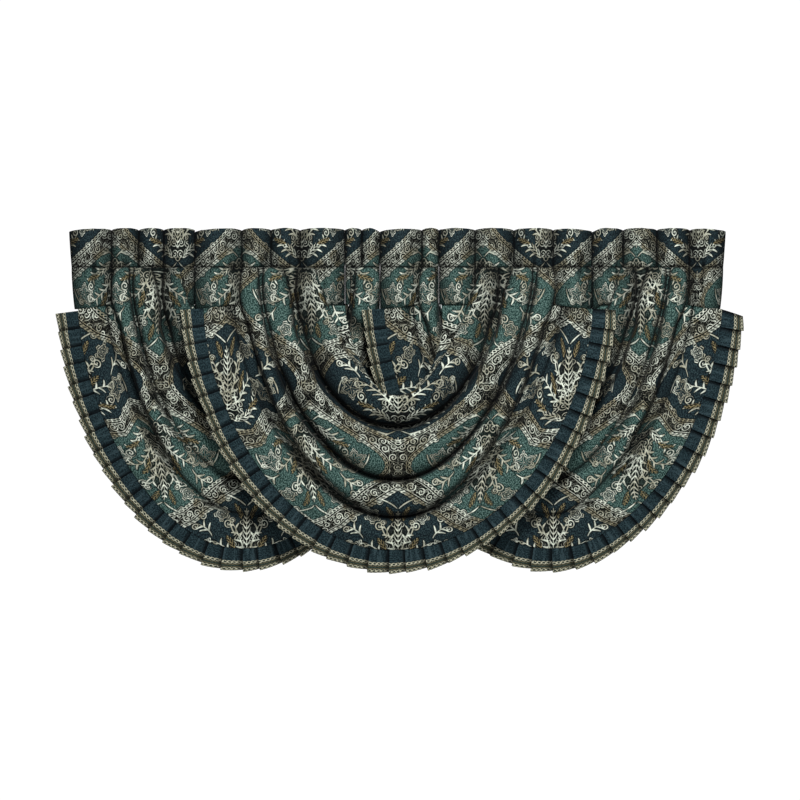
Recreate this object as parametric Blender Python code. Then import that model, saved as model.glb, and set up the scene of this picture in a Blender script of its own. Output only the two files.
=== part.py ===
"""A waterfall valance for a window: three swags of woven cloth that share one curtain rod.

Each swag is one sheet. It falls in a bowl of folds from three pleats at either side, and its
ears are the flat panels outside the pleats. The pleats are sewn below the heading of a rod
pocket at either side, so the six pockets can be threaded on one rod in turn, and the centre
swag lies over the two side swags. A knife-pleated ruffle with a braid runs round each swag.

X is to the right, -Y is towards the viewer, +Z is up. The origin is the middle of the top edge.
The tables are in millimetres. "away" is the distance from a swag's own middle, "drop" is the
distance below the top edge, and "out" is the distance in front of the rod.
"""

import math
from collections import namedtuple

import bpy

MM = 0.001

# The cloth
CLOTH = 2.0
POCKET_CLOTH = 1.6
RUFFLE_CLOTH = 1.2
BRAID_CLOTH = 1.0
SEAM_GAP = 1.8
BRAID_GAP = 0.4

# A swag, flat edge to flat edge without its ruffle
HALF_WIDTH = 562.0

# The heading and rod pocket of each band
STITCH_DROP = 99.0
STITCH_OUT = 1.6
POCKET_BOTTOM = 196.0
EAR_END_SAG = 12.0
EAR_END_SLOPE = 115.0
POCKET_DEPTH = 14.0
POCKET_PRESSED = 9.0
POCKET_PUFFED = 23.0
COVER = 15.0
COVER_START = 4.2
COVER_RUN = 22.0
HEADING_PUFF = 12.0
HEADING_PINCH = 3.0
NOTCH = 5.0
PUFF_SECTIONS = (0.0, 0.22, 0.78)

# The ruffle and its braid
RUFFLE = 60.0
BRAID_START = 34.0
PLEAT = 45.0
PLEAT_LAP = 2.5
PLEAT_RISE = 8.0

# Where the cloth starts that has no room on its own pocket and is gathered behind it
BEHIND_OUT = -10.0
BEHIND_DROP = 222.0
BUNCH = 9.0

# How far the centre swag stands in front of the side swags, and over what drop it gets there
LAYER = 60.0
LAYER_TOP = 195.0
LAYER_DROP = 170.0

STEPS_DOWN = 11

# The lines of a swag from its outer edge to its free inner hem. Each is a cubic curve from its
# top to the swag's middle line: top, a point below it that pulls it down, a level point that
# pulls it sideways, and its lowest point. head is how far it stands in front of the pocket, and
# swell how far its head bulges away. A line with no head starts under the pocket at top_out.
Line = namedtuple(
    "Line",
    "name top_away top_drop mid_away mid_drop low_away end_drop head top_out mid_out low_out end_out swell lean",
)
LINES = [
    #     name          top        mid        low  end  head  top mid low end swell lean
    Line("seam",        504, 212,  484, 510,  268, 835, None,  8, 18, 22, 24,   0, 0.0),
    Line("ear",         460, 204,  437, 523,  237, 801, None,  2, 34, 40, 42,   0, 0.3),
    Line("ear_tuck",    428, 200,  411, 432,  216, 754, None,  2, 12,  6,  4,   0, 0.7),
    Line("pleat1_near", 400, 101,  406, 393,  205, 746,  1.0,  0, 18, 10,  8,  13, 0.8),
    Line("pleat1",      382, 101,  385, 406,  211, 702, 20.0,  0, 50, 52, 50,   0, 1.0),
    Line("pleat1_far",  364, 101,  356, 380,  195, 658,  1.0,  0, 18, 10,  4,   0, 1.0),
    Line("pleat2_near", 348, 101,  349, 380,  189, 651,  1.0,  0, 18, 10,  4,   5, 1.0),
    Line("pleat2",      328, 101,  276, 341,  159, 595, 24.0,  0, 54, 56, 50,   0, 1.0),
    Line("pleat2_far",  302, 101,  278, 328,  153, 523,  1.0,  0, 16,  6,  0, -12, 0.7),
    Line("pleat3_near", 257, 101,  273, 328,  148, 517,  1.0,  0, 16,  6,  0,   8, 0.7),
    Line("pleat3",      237, 101,  224, 276,  125, 450, 22.0,  0, 52, 54, 46,   0, 0.3),
    Line("rim",         216, 101,  172, 250,   88, 434,  8.0,  0, 38, 44, 38,   0, 0.1),
    Line("tuck",        194, 200,  162, 284,   80, 444, None,  2, 18, 24, 20,   0, 0.1),
    Line("hem",         138, 200,  130, 302,   60, 447, None,  2, 12, 16, 12,   0, 0.0),
]

NAMES = [line.name for line in LINES]

# How the sheet runs from each line to the next: "flat", or round like the side of a tube.
SPANS = [
    ("flat", 2), ("round", 2), ("flat", 1), ("round", 2), ("round", 2), ("flat", 1), ("round", 2),
    ("round", 2), ("flat", 1), ("round", 2), ("round", 2), ("flat", 1), ("flat", 1),
]

# The pleats are the only part of a swag that reaches up over the pocket. Their rows there are at
# these shares of the way down from the stitch line to the waist, where the rest of the swag starts.
WAIST_DROP = 204.0
FLAP_ROWS = (0.0, 0.22, 0.6)

# A side of a swag: which way it lies, the ends of its pocket in X, the first and last lines that
# start on the pocket, tops moved from where LINES has them, how far its folds lean in, how far
# its free corner stands out, and the tilt of its ruffle there.
Side = namedtuple("Side", "sign inner outer on_pocket tops lean corner tilt")
# A swag: its middle in X, how much narrower its folds are drawn, and its two sides.
Swag = namedtuple("Swag", "name middle squeeze left right")
SWAGS = [
    Swag("left", -398, 0.00021,
         Side(-1, -533, -855, ("seam", "tuck"), {}, 0, 8, 0.0),
         Side(1, -143, -52, ("pleat1_near", "pleat2_near"),
              {"pleat1_near": 338, "pleat1": 312, "pleat1_far": 284, "pleat2_near": 266}, 26, 2, 0.0)),
    Swag("right", 398, 0.00021,
         Side(-1, 101, -52, ("seam", "pleat2_near"), {"pleat2_near": 300}, 0, 28, 0.35),
         Side(1, 499, 850, ("seam", "hem"), {}, 26, 8, 0.0)),
    Swag("centre", -5, 0.0,
         Side(-1, -143, -533, ("seam", "hem"), {}, 0, 28, 0.35),
         Side(1, 101, 499, ("seam", "hem"), {"hem": 112}, 26, 28, 0.35)),
]

# The bands: ends in X, the gather lines between them, where pleats cover the pocket, and which
# end carries an ear.
Band = namedtuple("Band", "name start end gathers covered ear")
BANDS = [
    Band("left_band_outer", -855, -533, (-749, -679, -614), (-760, -566), -1),
    Band("centre_band_left", -533, -143, (-411, -335, -260), (-430, -205), -1),
    Band("left_band_inner", -143, -52, (-99,), (-150, -45), 0),
    Band("right_band_inner", -52, 101, (57,), (36, 110), -1),
    Band("centre_band_right", 101, 499, (195, 296, 398), (186, 425), 1),
    Band("right_band_outer", 499, 850, (580, 668, 754), (570, 762), 1),
]
BAND_GAP = 0.7
BAND_END_SLANT = 14.0


def clamp(value, low=0.0, high=1.0):
    return max(low, min(high, value))


def smooth(value):
    value = clamp(value)
    return value * value * (3 - 2 * value)


def mix(a, b, share):
    return a + (b - a) * share


def cubic(a, b, c, d, t):
    s = 1 - t
    return s * s * s * a + 3 * s * s * t * b + 3 * s * t * t * c + t * t * t * d


def pocket_bottom(from_ear_end):
    """The drop of a pocket's lower seam, which sags towards the end that carries the ear."""
    return POCKET_BOTTOM + EAR_END_SAG * (1 - smooth(from_ear_end / EAR_END_SLOPE))


def cover(drop):
    """How far out a pleat lies where it passes over the pocket."""
    return mix(COVER_START, COVER, clamp((drop - STITCH_DROP - 2) / COVER_RUN))


def drawn(swag, away):
    """A distance from the middle, narrowed for a side swag."""
    inset = HALF_WIDTH - away
    return HALF_WIDTH - swag.squeeze * HALF_WIDTH**2 - inset + swag.squeeze * inset**2


def on_pocket(side, index):
    """Whether a line starts where the swag has room for it, and not gathered behind its pocket."""
    first, last = (NAMES.index(name) for name in side.on_pocket)
    return first <= index <= last


def line_point(swag, side, index, t, rise=1.0):
    """(X, out, drop) of a line of one side of a swag.

    t goes from 0, level with the bottom of the pocket, to 1 at the swag's middle. Over the
    pocket, where only the pleats reach, rise goes from 0 at the stitch line to 1.
    """
    line = LINES[index]
    top_away = side.tops.get(line.name, drawn(swag, line.top_away))
    top_drop, top_out, head = line.top_drop, line.top_out, line.head
    if not on_pocket(side, index):
        first, last = (NAMES.index(name) for name in side.on_pocket)
        if index < first:
            top_away = abs(side.outer - swag.middle) + BUNCH * (first - index)
        else:
            top_away = abs(side.inner - swag.middle) - BUNCH * (index - last)
        top_drop, top_out, head = BEHIND_DROP, BEHIND_OUT + 0.3 * line.mid_out, None
    elif line.name == "seam":
        top_out = side.corner
    if head is not None:
        waist = 0.0
        while cubic(top_drop, line.mid_drop, line.end_drop, line.end_drop, waist) < WAIST_DROP:
            waist += 0.002
        t = mix(waist, 1.0, t) if rise == 1.0 else waist * rise
    lean = side.lean * line.lean
    mid_away, low_away = drawn(swag, line.mid_away) - lean, drawn(swag, line.low_away) - lean
    away = cubic(top_away, mid_away, low_away, 0, t)
    drop = cubic(top_drop, line.mid_drop, line.end_drop, line.end_drop, t)
    out = cubic(top_out, line.mid_out, line.low_out, line.end_out, t)
    if head is not None:
        bulge = clamp((drop - STITCH_DROP) / 150)
        away += line.swell * 4 * bulge * (1 - bulge)
        start = cover(drop) + head * math.sin(math.pi / 2 * clamp((drop - STITCH_DROP) / 60))
        low = cubic(line.mid_out * 0.6, line.mid_out, line.low_out, line.end_out, t)
        out = mix(start, low, smooth((drop - WAIST_DROP) / 80))
    x = swag.middle + side.sign * away
    return x, settled(swag, x, drop, out), drop


def settled(swag, x, drop, out):
    """How far a point stands out once the swags lie on each other."""
    if swag.name == "centre":
        return out + LAYER * smooth((drop - LAYER_TOP) / LAYER_DROP)
    below = smooth((drop - 225) / 60)
    behind = -22 + 0.42 * out
    if swag.name == "left":
        out = mix(out, 0.45 * out, smooth((x + 640) / 80) * below)
        out = mix(out, behind, smooth((x + 420) / 120) * below)
        under_centre = smooth((-118 - x) / 20) * smooth((x + 260) / 60)
        out = mix(out, behind, under_centre * smooth((drop - 200) / 25))
        return mix(out, behind, smooth((x + 70) / 40) * smooth((drop - 208) / 25))
    out = mix(out, 18 + 0.4 * out, smooth((122 - x) / 150) * below)
    out = mix(out, 0.45 * out, smooth((640 - x) / 80) * smooth((x - 200) / 60) * below)
    under_centre = smooth((x - 86) / 16) * smooth((200 - x) / 40)
    return mix(out, behind, under_centre * smooth((drop - 200) / 25) * smooth((330 - drop) / 60))


def across(swag, side, t, rise, subdivide=1):
    """{column: point} of one section of a side, from its seam to its hem, or of its pleats only."""
    def drawn_here(index):
        return rise == 1.0 or on_pocket(side, index) and LINES[index].head is not None

    points, column = {}, 0
    for k, (form, count) in enumerate(SPANS):
        count *= subdivide
        if drawn_here(k) and drawn_here(k + 1):
            a = line_point(swag, side, k, t, rise)
            b = line_point(swag, side, k + 1, t, rise)
            if on_pocket(side, k) != on_pocket(side, k + 1):
                form = "flat"
            for i in range(count + 1):
                share = i / count
                along = high = share
                if form == "round" and b[1] >= a[1]:
                    along, high = 1 - math.cos(math.pi / 2 * share), math.sin(math.pi / 2 * share)
                elif form == "round":
                    along, high = math.sin(math.pi / 2 * share), 1 - math.cos(math.pi / 2 * share)
                points[column + i] = (mix(a[0], b[0], along), mix(a[1], b[1], high), mix(a[2], b[2], along))
        column += count
    return points


def stations(steps):
    """(side number, t, rise) of each section, from the left top round the middle to the right top."""
    over = [(0.0, rise) for rise in FLAP_ROWS]
    down = over + [((i / steps) ** 1.3, 1.0) for i in range(steps + 1)]
    return [(0, t, rise) for t, rise in down] + [(1, t, rise) for t, rise in reversed(down[:-1])]


def to_world(point):
    x, out, drop = point
    return (x * MM, -out * MM, -drop * MM)


def cross(a, b):
    return (a[1] * b[2] - a[2] * b[1], a[2] * b[0] - a[0] * b[2], a[0] * b[1] - a[1] * b[0])


def unit(v):
    length = math.sqrt(sum(c * c for c in v)) or 1.0
    return tuple(c / length for c in v)


def turned(before, here, after):
    """The direction of a path at a point, halfway between the ways to it and from it."""
    a = unit([q - p for p, q in zip(before, here)])
    b = unit([q - p for p, q in zip(here, after)])
    return [p + q for p, q in zip(a, b)]


def thick_sheet(grid, thickness):
    """Points and faces of a closed solid: a sheet of a thickness through {(row, column): point}."""
    front, points = {}, []
    for (i, j), here in grid.items():
        down = turned(grid.get((i - 1, j), here), here, grid.get((i + 1, j), here))
        along = turned(grid.get((i, j - 1), here), here, grid.get((i, j + 1), here))
        normal = unit(cross(down, along))
        front[i, j] = len(points)
        points += [tuple(p + side * thickness / 2 * n for p, n in zip(here, normal)) for side in (1, -1)]
    faces, sides = [], set()
    for i, j in grid:
        corners = [(i, j), (i + 1, j), (i + 1, j + 1), (i, j + 1)]
        if all(corner in front for corner in corners):
            quad = [front[corner] for corner in corners]
            faces.append(quad)
            faces.append([v + 1 for v in reversed(quad)])
            sides |= set(zip(quad, quad[1:] + quad[:1]))
    faces += [[a + 1, b + 1, b, a] for a, b in sorted(sides) if (b, a) not in sides]
    return points, faces


def add_object(name, points, faces, material):
    mesh = bpy.data.meshes.new(name)
    mesh.from_pydata([to_world(p) for p in points], [], faces)
    mesh.validate()
    mesh.materials.append(material)
    mesh.shade_smooth()
    mesh.set_sharp_from_angle(angle=math.radians(50))
    obj = bpy.data.objects.new(name, mesh)
    bpy.context.scene.collection.objects.link(obj)
    return obj


def swag_grid(swag, steps=STEPS_DOWN, subdivide=1):
    """{(row, column): point} of a swag's sheet."""
    sides = (swag.left, swag.right)
    return {
        (row, column): point
        for row, (k, t, rise) in enumerate(stations(steps))
        for column, point in across(swag, sides[k], t, rise, subdivide).items()
    }


def swag_sheet(swag, material):
    points, faces = thick_sheet(swag_grid(swag), CLOTH)
    return add_object(swag.name + "_swag", points, faces, material)


def seam_frames(swag, fine=80):
    """The seam as (arc length, point, outward direction, tilt) at many places along it."""
    sides = (swag.left, swag.right)
    places = [(k, t, line_point(swag, sides[k], 0, t)) for k, t, rise in stations(fine) if rise == 1.0]
    frames, length = [], 0.0
    for i, (k, t, point) in enumerate(places):
        if i:
            length += math.dist(point, places[i - 1][2])
        a, b = places[max(i - 1, 0)][2], places[min(i + 1, len(places) - 1)][2]
        along = unit((b[0] - a[0], 0.0, b[2] - a[2]))
        tilt = sides[k].tilt * (1 - smooth(t / 0.35))
        frames.append((length, point, (-along[2], 0.0, along[0]), tilt))
    return frames


def seam_at(frames, length):
    """The frame at an arc length, carried straight on past either end."""
    k = next((i for i, frame in enumerate(frames) if frame[0] >= length), len(frames) - 1)
    k = max(1, k)
    a, b = frames[k - 1], frames[k]
    share = (length - a[0]) / (b[0] - a[0])
    point = tuple(mix(p, q, share) for p, q in zip(a[1], b[1]))
    outward = unit([mix(p, q, clamp(share)) for p, q in zip(a[2], b[2])])
    return point, outward, mix(a[3], b[3], clamp(share))


def pleat_profile(total):
    """(arc length, height) along the ruffle: each pleat falls slowly and the next laps it."""
    count = round(total / PLEAT)
    pitch = total / count
    profile = [(0.0, PLEAT_RISE)]
    for i in range(1, count):
        profile += [(i * pitch + PLEAT_LAP, 0.0), (i * pitch, PLEAT_RISE)]
    return profile + [(total, 0.0)]


def offset_profile(profile, distance):
    """The profile moved sideways by a distance, with mitred corners."""
    moved = []
    last = len(profile) - 1
    for i, (s, h) in enumerate(profile):
        a, b = profile[max(i - 1, 0)], profile[min(i + 1, last)]
        before = unit((s - a[0], h - a[1])) if i else unit((b[0] - s, b[1] - h))
        after = unit((b[0] - s, b[1] - h)) if i < last else before
        normal = unit((-before[1] - after[1], before[0] + after[0]))
        reach = max(0.2, -normal[0] * before[1] + normal[1] * before[0])
        moved.append((s + normal[0] * distance / reach, h + normal[1] * distance / reach))
    return moved


def pleated_strip(swag, name, widths, low, high, material):
    """A strip of the ruffle, through some widths outside the seam, between two offsets of its pleats."""
    frames = seam_frames(swag)
    profile = pleat_profile(frames[-1][0])
    ring = []
    for distance, order in ((low, widths), (high, widths[::-1])):
        moved = offset_profile(profile, distance)
        for width in order:
            loop = []
            for s, h in moved:
                point, outward, tilt = seam_at(frames, s)
                lift = h - PLEAT_RISE / 2 + tilt * width
                loop.append((point[0] + outward[0] * width, point[1] + lift, point[2] + outward[2] * width))
            ring.append(loop)
    count = len(profile)
    points = [p for loop in ring for p in loop]
    faces = []
    for k in range(len(ring)):
        a, b = k * count, (k + 1) % len(ring) * count
        for i in range(count - 1):
            if k < len(widths):
                faces += [(a + i, a + i + 1, b + i + 1), (a + i, b + i + 1, b + i)]
            else:
                faces += [(a + i, a + i + 1, b + i), (a + i + 1, b + i + 1, b + i)]
    half = len(widths)
    for k in range(half - 1):
        a, b, c, d = (count * n for n in (k, k + 1, 2 * half - 2 - k, 2 * half - 1 - k))
        faces.append((a, b, c, d))
        last = count - 1
        faces.append((d + last, c + last, b + last, a + last))
    return add_object(name, points, faces, material)


def band_section(band, x):
    """The middle line of a band's loop at X, as (out, drop) points round it."""
    edges = (band.start, *band.gathers, band.end)
    k = max(i for i, edge in enumerate(edges[:-1]) if x >= edge - 0.01)
    share = clamp((x - edges[k]) / (edges[k + 1] - edges[k]))
    puff = math.sin(math.pi * share) ** 0.7 if 0 < share < 1 else 0.0
    heading = mix(HEADING_PINCH, HEADING_PUFF, puff)
    covered = smooth((x - band.covered[0]) / 22 + 1) * smooth((band.covered[1] - x) / 22 + 1)
    free = mix(POCKET_DEPTH, POCKET_PUFFED, puff)
    depth = mix(free, POCKET_PRESSED, covered)
    if band.ear:
        from_ear = x - band.start if band.ear < 0 else band.end - x
    else:
        from_ear = EAR_END_SLOPE
    bottom = pocket_bottom(from_ear)
    sag = 0.3 * (bottom - POCKET_BOTTOM) + NOTCH * (1 - puff) * (0 < share < 1 or 0 < k)
    return [
        (0.0, bottom),
        (depth, bottom - 24),
        (0.8 * depth, STITCH_DROP + 23),
        (STITCH_OUT, STITCH_DROP),
        (0.85 * heading, STITCH_DROP - 22),
        (heading, 24 + sag),
        (0.0, sag),
        (-0.8 * heading, 24 + sag),
        (-0.7 * heading, STITCH_DROP - 22),
        (-STITCH_OUT, STITCH_DROP),
        (-0.9 * POCKET_DEPTH, STITCH_DROP + 23),
        (-POCKET_DEPTH, bottom - 24),
    ]


def offset_ring(ring, distance):
    """A closed ring of points moved outwards by a distance."""
    moved = []
    count = len(ring)
    for i, (out, drop) in enumerate(ring):
        a, b = ring[i - 1], ring[(i + 1) % count]
        before, after = unit((out - a[0], drop - a[1])), unit((b[0] - out, b[1] - drop))
        normal = unit((-before[1] - after[1], before[0] + after[0]))
        reach = max(0.6, -normal[0] * before[1] + normal[1] * before[0])
        moved.append((out + normal[0] * distance / reach, drop + normal[1] * distance / reach))
    return moved


def rod_band(band, material):
    """A heading and rod pocket in one: a flat tube of cloth, pinched along the stitch line."""
    edges = (band.start + BAND_GAP / 2, *band.gathers, band.end - BAND_GAP / 2)
    places = [mix(a, b, share) for a, b in zip(edges, edges[1:]) for share in PUFF_SECTIONS]
    places.append(edges[-1])
    length = band.end - band.start
    points, count = [], 0
    for x in places:
        ring = band_section(band, x)
        count = len(ring)
        slant = 0.0
        if band.ear:
            from_ear = x - band.start if band.ear < 0 else band.end - x
            free = band.name.endswith("outer")
            slant = -band.ear * BAND_END_SLANT * free * (1 - smooth(from_ear / (0.4 * length)))
        for distance in (POCKET_CLOTH / 2, -POCKET_CLOTH / 2):
            for out, drop in offset_ring(ring, distance):
                points.append((x + slant * drop / POCKET_BOTTOM, out, drop))
    faces = []
    step = 2 * count
    for s in range(len(places) - 1):
        for i in range(count):
            j = (i + 1) % count
            a, b = s * step, (s + 1) * step
            faces.append((a + i, b + i, b + j, a + j))
            faces.append((a + count + i, a + count + j, b + count + j, b + count + i))
    end = (len(places) - 1) * step
    for i in range(count):
        j = (i + 1) % count
        faces.append((i, j, count + j, count + i))
        faces.append((end + i, end + count + i, end + count + j, end + j))
    return add_object(band.name, points, faces, material)


def cloth_material(name, colour, roughness):
    material = bpy.data.materials.new(name)
    material.use_nodes = True
    shader = material.node_tree.nodes["Principled BSDF"]
    shader.inputs["Base Color"].default_value = (*colour, 1.0)
    shader.inputs["Roughness"].default_value = roughness
    shader.inputs["Metallic"].default_value = 0.0
    return material


def clear_scene():
    for obj in list(bpy.data.objects):
        bpy.data.objects.remove(obj)


def build():
    clear_scene()
    woven = cloth_material("woven_cloth", (0.045, 0.085, 0.085), 0.8)
    ruffle = cloth_material("ruffle_cloth", (0.02, 0.045, 0.065), 0.8)
    braid = cloth_material("braid", (0.12, 0.14, 0.10), 0.85)
    for band in BANDS:
        rod_band(band, woven)
    for swag in SWAGS:
        swag_sheet(swag, woven)
        half = RUFFLE_CLOTH / 2
        widths = (SEAM_GAP, BRAID_START, RUFFLE)
        pleated_strip(swag, swag.name + "_ruffle", widths, -half, half, ruffle)
        start = half + BRAID_GAP
        pleated_strip(swag, swag.name + "_braid", widths[1:], start, start + BRAID_CLOTH, braid)


build()
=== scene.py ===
"""The waterfall valance as it hangs: three draped swags with their pleated ruffles and rod pockets.

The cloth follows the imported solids. The tables are in millimetres: "away" is the distance from
a swag's middle, "drop" the distance below the top edge, and "out" the distance to the front.
"""

import math
from collections import namedtuple
from functools import partial

import bpy
import numpy as np
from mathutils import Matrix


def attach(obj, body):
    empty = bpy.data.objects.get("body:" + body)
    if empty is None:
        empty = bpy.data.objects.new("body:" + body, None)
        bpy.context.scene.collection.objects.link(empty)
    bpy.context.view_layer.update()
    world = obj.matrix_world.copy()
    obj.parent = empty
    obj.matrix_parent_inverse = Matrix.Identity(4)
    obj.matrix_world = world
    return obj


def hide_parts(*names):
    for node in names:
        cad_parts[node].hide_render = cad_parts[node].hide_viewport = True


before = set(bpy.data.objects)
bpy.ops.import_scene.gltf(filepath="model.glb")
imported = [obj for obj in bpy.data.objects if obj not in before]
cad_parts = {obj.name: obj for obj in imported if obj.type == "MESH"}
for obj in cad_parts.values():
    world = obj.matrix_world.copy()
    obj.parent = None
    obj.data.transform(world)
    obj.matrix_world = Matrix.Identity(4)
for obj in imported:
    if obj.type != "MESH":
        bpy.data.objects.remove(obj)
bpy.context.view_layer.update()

MM = 0.001

# The cloth
SHEET = 1.5
RUFFLE_SHEET = 1.1
BRAID_SHEET = 1.0
HALF_WIDTH = 562.0

# The heading and the rod pocket
STITCH_DROP = 99.0
STITCH_OUT = 1.6
POCKET_BOTTOM = 196.0
EAR_END_SAG = 12.0
EAR_END_SLOPE = 115.0
POCKET_DEPTH = 14.0
POCKET_PRESSED = 9.0
POCKET_PUFFED = 23.0
COVER = 15.0
COVER_START = 4.2
COVER_RUN = 22.0
HEADING_PUFF = 12.0
HEADING_PINCH = 3.0
HEADING_OVER = 2.5
NOTCH = 8.0
BAND_GAP = 0.7
BAND_END_SLANT = 14.0

# The ruffle and its braid
RUFFLE = 60.0
BRAID_START = 34.0
PLEAT = 45.0
PLEAT_RISE = 8.0
PLEAT_SPLAY = 2.0
RUFFLE_OUT = -2.2
BRAID_GAP = 0.25
END_OVER = 4.0
FULLNESS = 1.7

# How the hidden cloth gathers behind a pocket, and how far the centre swag stands in front
BEHIND_OUT = -10.0
BEHIND_DROP = 222.0
BUNCH = 9.0
LAYER = 60.0
LAYER_TOP = 195.0
LAYER_DROP = 170.0
WAIST_DROP = 204.0
WAIST_STEP = 0.002
TUCKED_OUT = -5.2
TUCK_RUN = 34.0
HIDDEN_TOP = 206.0
HIDDEN_FROM = 216.0
HIDDEN_TO = 228.0

# How a pleat swells, rises and settles below its stitching
SWELL_RUN = 150.0
HEAD_RUN = 60.0
SETTLE_RUN = 80.0

# How far a swag lies behind the one in front, and how much its folds are pressed there
LAID_BEHIND = -22.0
LAID_SHARE = 0.42
PRESSED = 0.45

# How far the lower right of a swag is drawn up, and its right edge in
RIGHT_RISE = 6.0
RIGHT_INSET = 2.5

# How finely the cloth is drawn
ROWS_DOWN = 52
WALL_COLUMNS = 4
FLAP_ROWS = (0.0, 0.05, 0.1, 0.16, 0.22, 0.3, 0.4, 0.5, 0.6, 0.7, 0.8, 0.9)
COLUMNS = 8

# The lines of a swag from its outer edge to its free inner hem
Line = namedtuple(
    "Line",
    "name top_away top_drop mid_away mid_drop low_away end_drop head"
    " top_out mid_out low_out end_out swell lean",
)
LINES = [
    #     name          top        mid        low  end  head  top mid low end swell lean
    Line("seam",        504, 212,  484, 510,  268, 835, None,  8, 18, 22, 24,   0, 0.0),
    Line("ear",         460, 204,  437, 523,  237, 801, None,  2, 34, 40, 42,   0, 0.3),
    Line("ear_tuck",    428, 200,  411, 432,  216, 754, None,  2, 12,  6,  4,   0, 0.7),
    Line("pleat1_near", 400, 101,  406, 393,  205, 746,  1.0,  0, 18, 10,  8,  13, 0.8),
    Line("pleat1",      382, 101,  385, 406,  211, 702, 20.0,  0, 50, 52, 50,   0, 1.0),
    Line("pleat1_far",  364, 101,  356, 380,  195, 658,  1.0,  0, 18, 10,  4,   0, 1.0),
    Line("pleat2_near", 348, 101,  349, 380,  189, 651,  1.0,  0, 18, 10,  4,   5, 1.0),
    Line("pleat2",      328, 101,  276, 341,  159, 595, 24.0,  0, 54, 56, 50,   0, 1.0),
    Line("pleat2_far",  302, 101,  278, 328,  153, 523,  1.0,  0, 16,  6,  0, -12, 0.7),
    Line("pleat3_near", 257, 101,  273, 328,  148, 517,  1.0,  0, 16,  6,  0,   8, 0.7),
    Line("pleat3",      237, 101,  224, 276,  125, 450, 22.0,  0, 52, 54, 46,   0, 0.3),
    Line("rim",         216, 101,  172, 250,   88, 434,  8.0,  0, 38, 44, 38,   0, 0.1),
    Line("tuck",        194, 200,  162, 284,   80, 444, None,  2, 18, 24, 20,   0, 0.1),
    Line("hem",         138, 200,  130, 302,   60, 447, None,  2, 12, 16, 12,   0, 0.0),
]
NAMES = [line.name for line in LINES]

# How the sheet runs from each line to the next: "flat", or round like the side of a tube
SPANS = [
    ("flat", 2), ("round", 2), ("flat", 1), ("round", 2), ("round", 2), ("flat", 1), ("round", 2),
    ("round", 2), ("flat", 1), ("round", 2), ("round", 2), ("flat", 1), ("flat", 1),
]

# A side of a swag: its direction, the ends of its pocket in X, the first and last lines that
# start on the pocket, moved tops, how far its folds lean in, how far its free corner stands
# out, and the tilt of its ruffle there. A swag: its middle in X, its narrowing, its two sides.
Side = namedtuple("Side", "sign inner outer on_pocket tops lean corner tilt")
Swag = namedtuple("Swag", "name middle squeeze left right")
SWAGS = [
    Swag("left", -398, 0.00021,
         Side(-1, -533, -855, ("seam", "tuck"), {}, 0, 8, 0.0),
         Side(1, -143, -52, ("pleat1_near", "pleat2_near"),
              {"pleat1_near": 338, "pleat1": 312, "pleat1_far": 284, "pleat2_near": 266}, 26, 2, 0.0)),
    Swag("right", 398, 0.00021,
         Side(-1, 101, -52, ("seam", "pleat2_near"), {"pleat2_near": 300}, 0, 28, 0.35),
         Side(1, 499, 850, ("seam", "hem"), {}, 26, 8, 0.0)),
    Swag("centre", -5, 0.0,
         Side(-1, -143, -533, ("seam", "hem"), {}, 0, 28, 0.35),
         Side(1, 101, 499, ("seam", "hem"), {"hem": 112}, 26, 28, 0.35)),
]

# The bands: ends in X, the gather lines between them, where pleats cover the pocket, and which
# end carries an ear
Band = namedtuple("Band", "name start end gathers covered ear")
BANDS = [
    Band("left_band_outer", -855, -533, (-749, -679, -614), (-760, -566), -1),
    Band("centre_band_left", -533, -143, (-411, -335, -260), (-430, -205), -1),
    Band("left_band_inner", -143, -52, (-99,), (-150, -45), 0),
    Band("right_band_inner", -52, 101, (57,), (36, 110), -1),
    Band("centre_band_right", 101, 499, (195, 296, 398), (186, 425), 1),
    Band("right_band_outer", 499, 850, (580, 668, 754), (570, 762), 1),
]


def clamp(value, low=0.0, high=1.0):
    return max(low, min(high, value))


def smooth(value):
    value = np.clip(value, 0.0, 1.0)
    return value * value * (3 - 2 * value)


def ramp(value, start, run):
    """0 up to a start, then smoothly up to 1 over a run."""
    return smooth((value - start) / run)


def mix(a, b, share):
    return a + (b - a) * share


def cubic(a, b, c, d, t):
    s = 1 - t
    return s * s * s * a + 3 * s * s * t * b + 3 * s * t * t * c + t * t * t * d


def pocket_bottom(from_ear_end):
    return POCKET_BOTTOM + EAR_END_SAG * (1 - smooth(from_ear_end / EAR_END_SLOPE))


def cover(drop):
    """How far out a pleat lies where it passes over the pocket."""
    return mix(COVER_START, COVER, clamp((drop - STITCH_DROP - 2) / COVER_RUN))


def drawn(swag, away):
    """A distance from the middle, narrowed for a side swag."""
    inset = HALF_WIDTH - away
    return HALF_WIDTH - swag.squeeze * HALF_WIDTH**2 - inset + swag.squeeze * inset**2


def on_pocket(side, index):
    first, last = (NAMES.index(name) for name in side.on_pocket)
    return first <= index <= last


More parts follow.
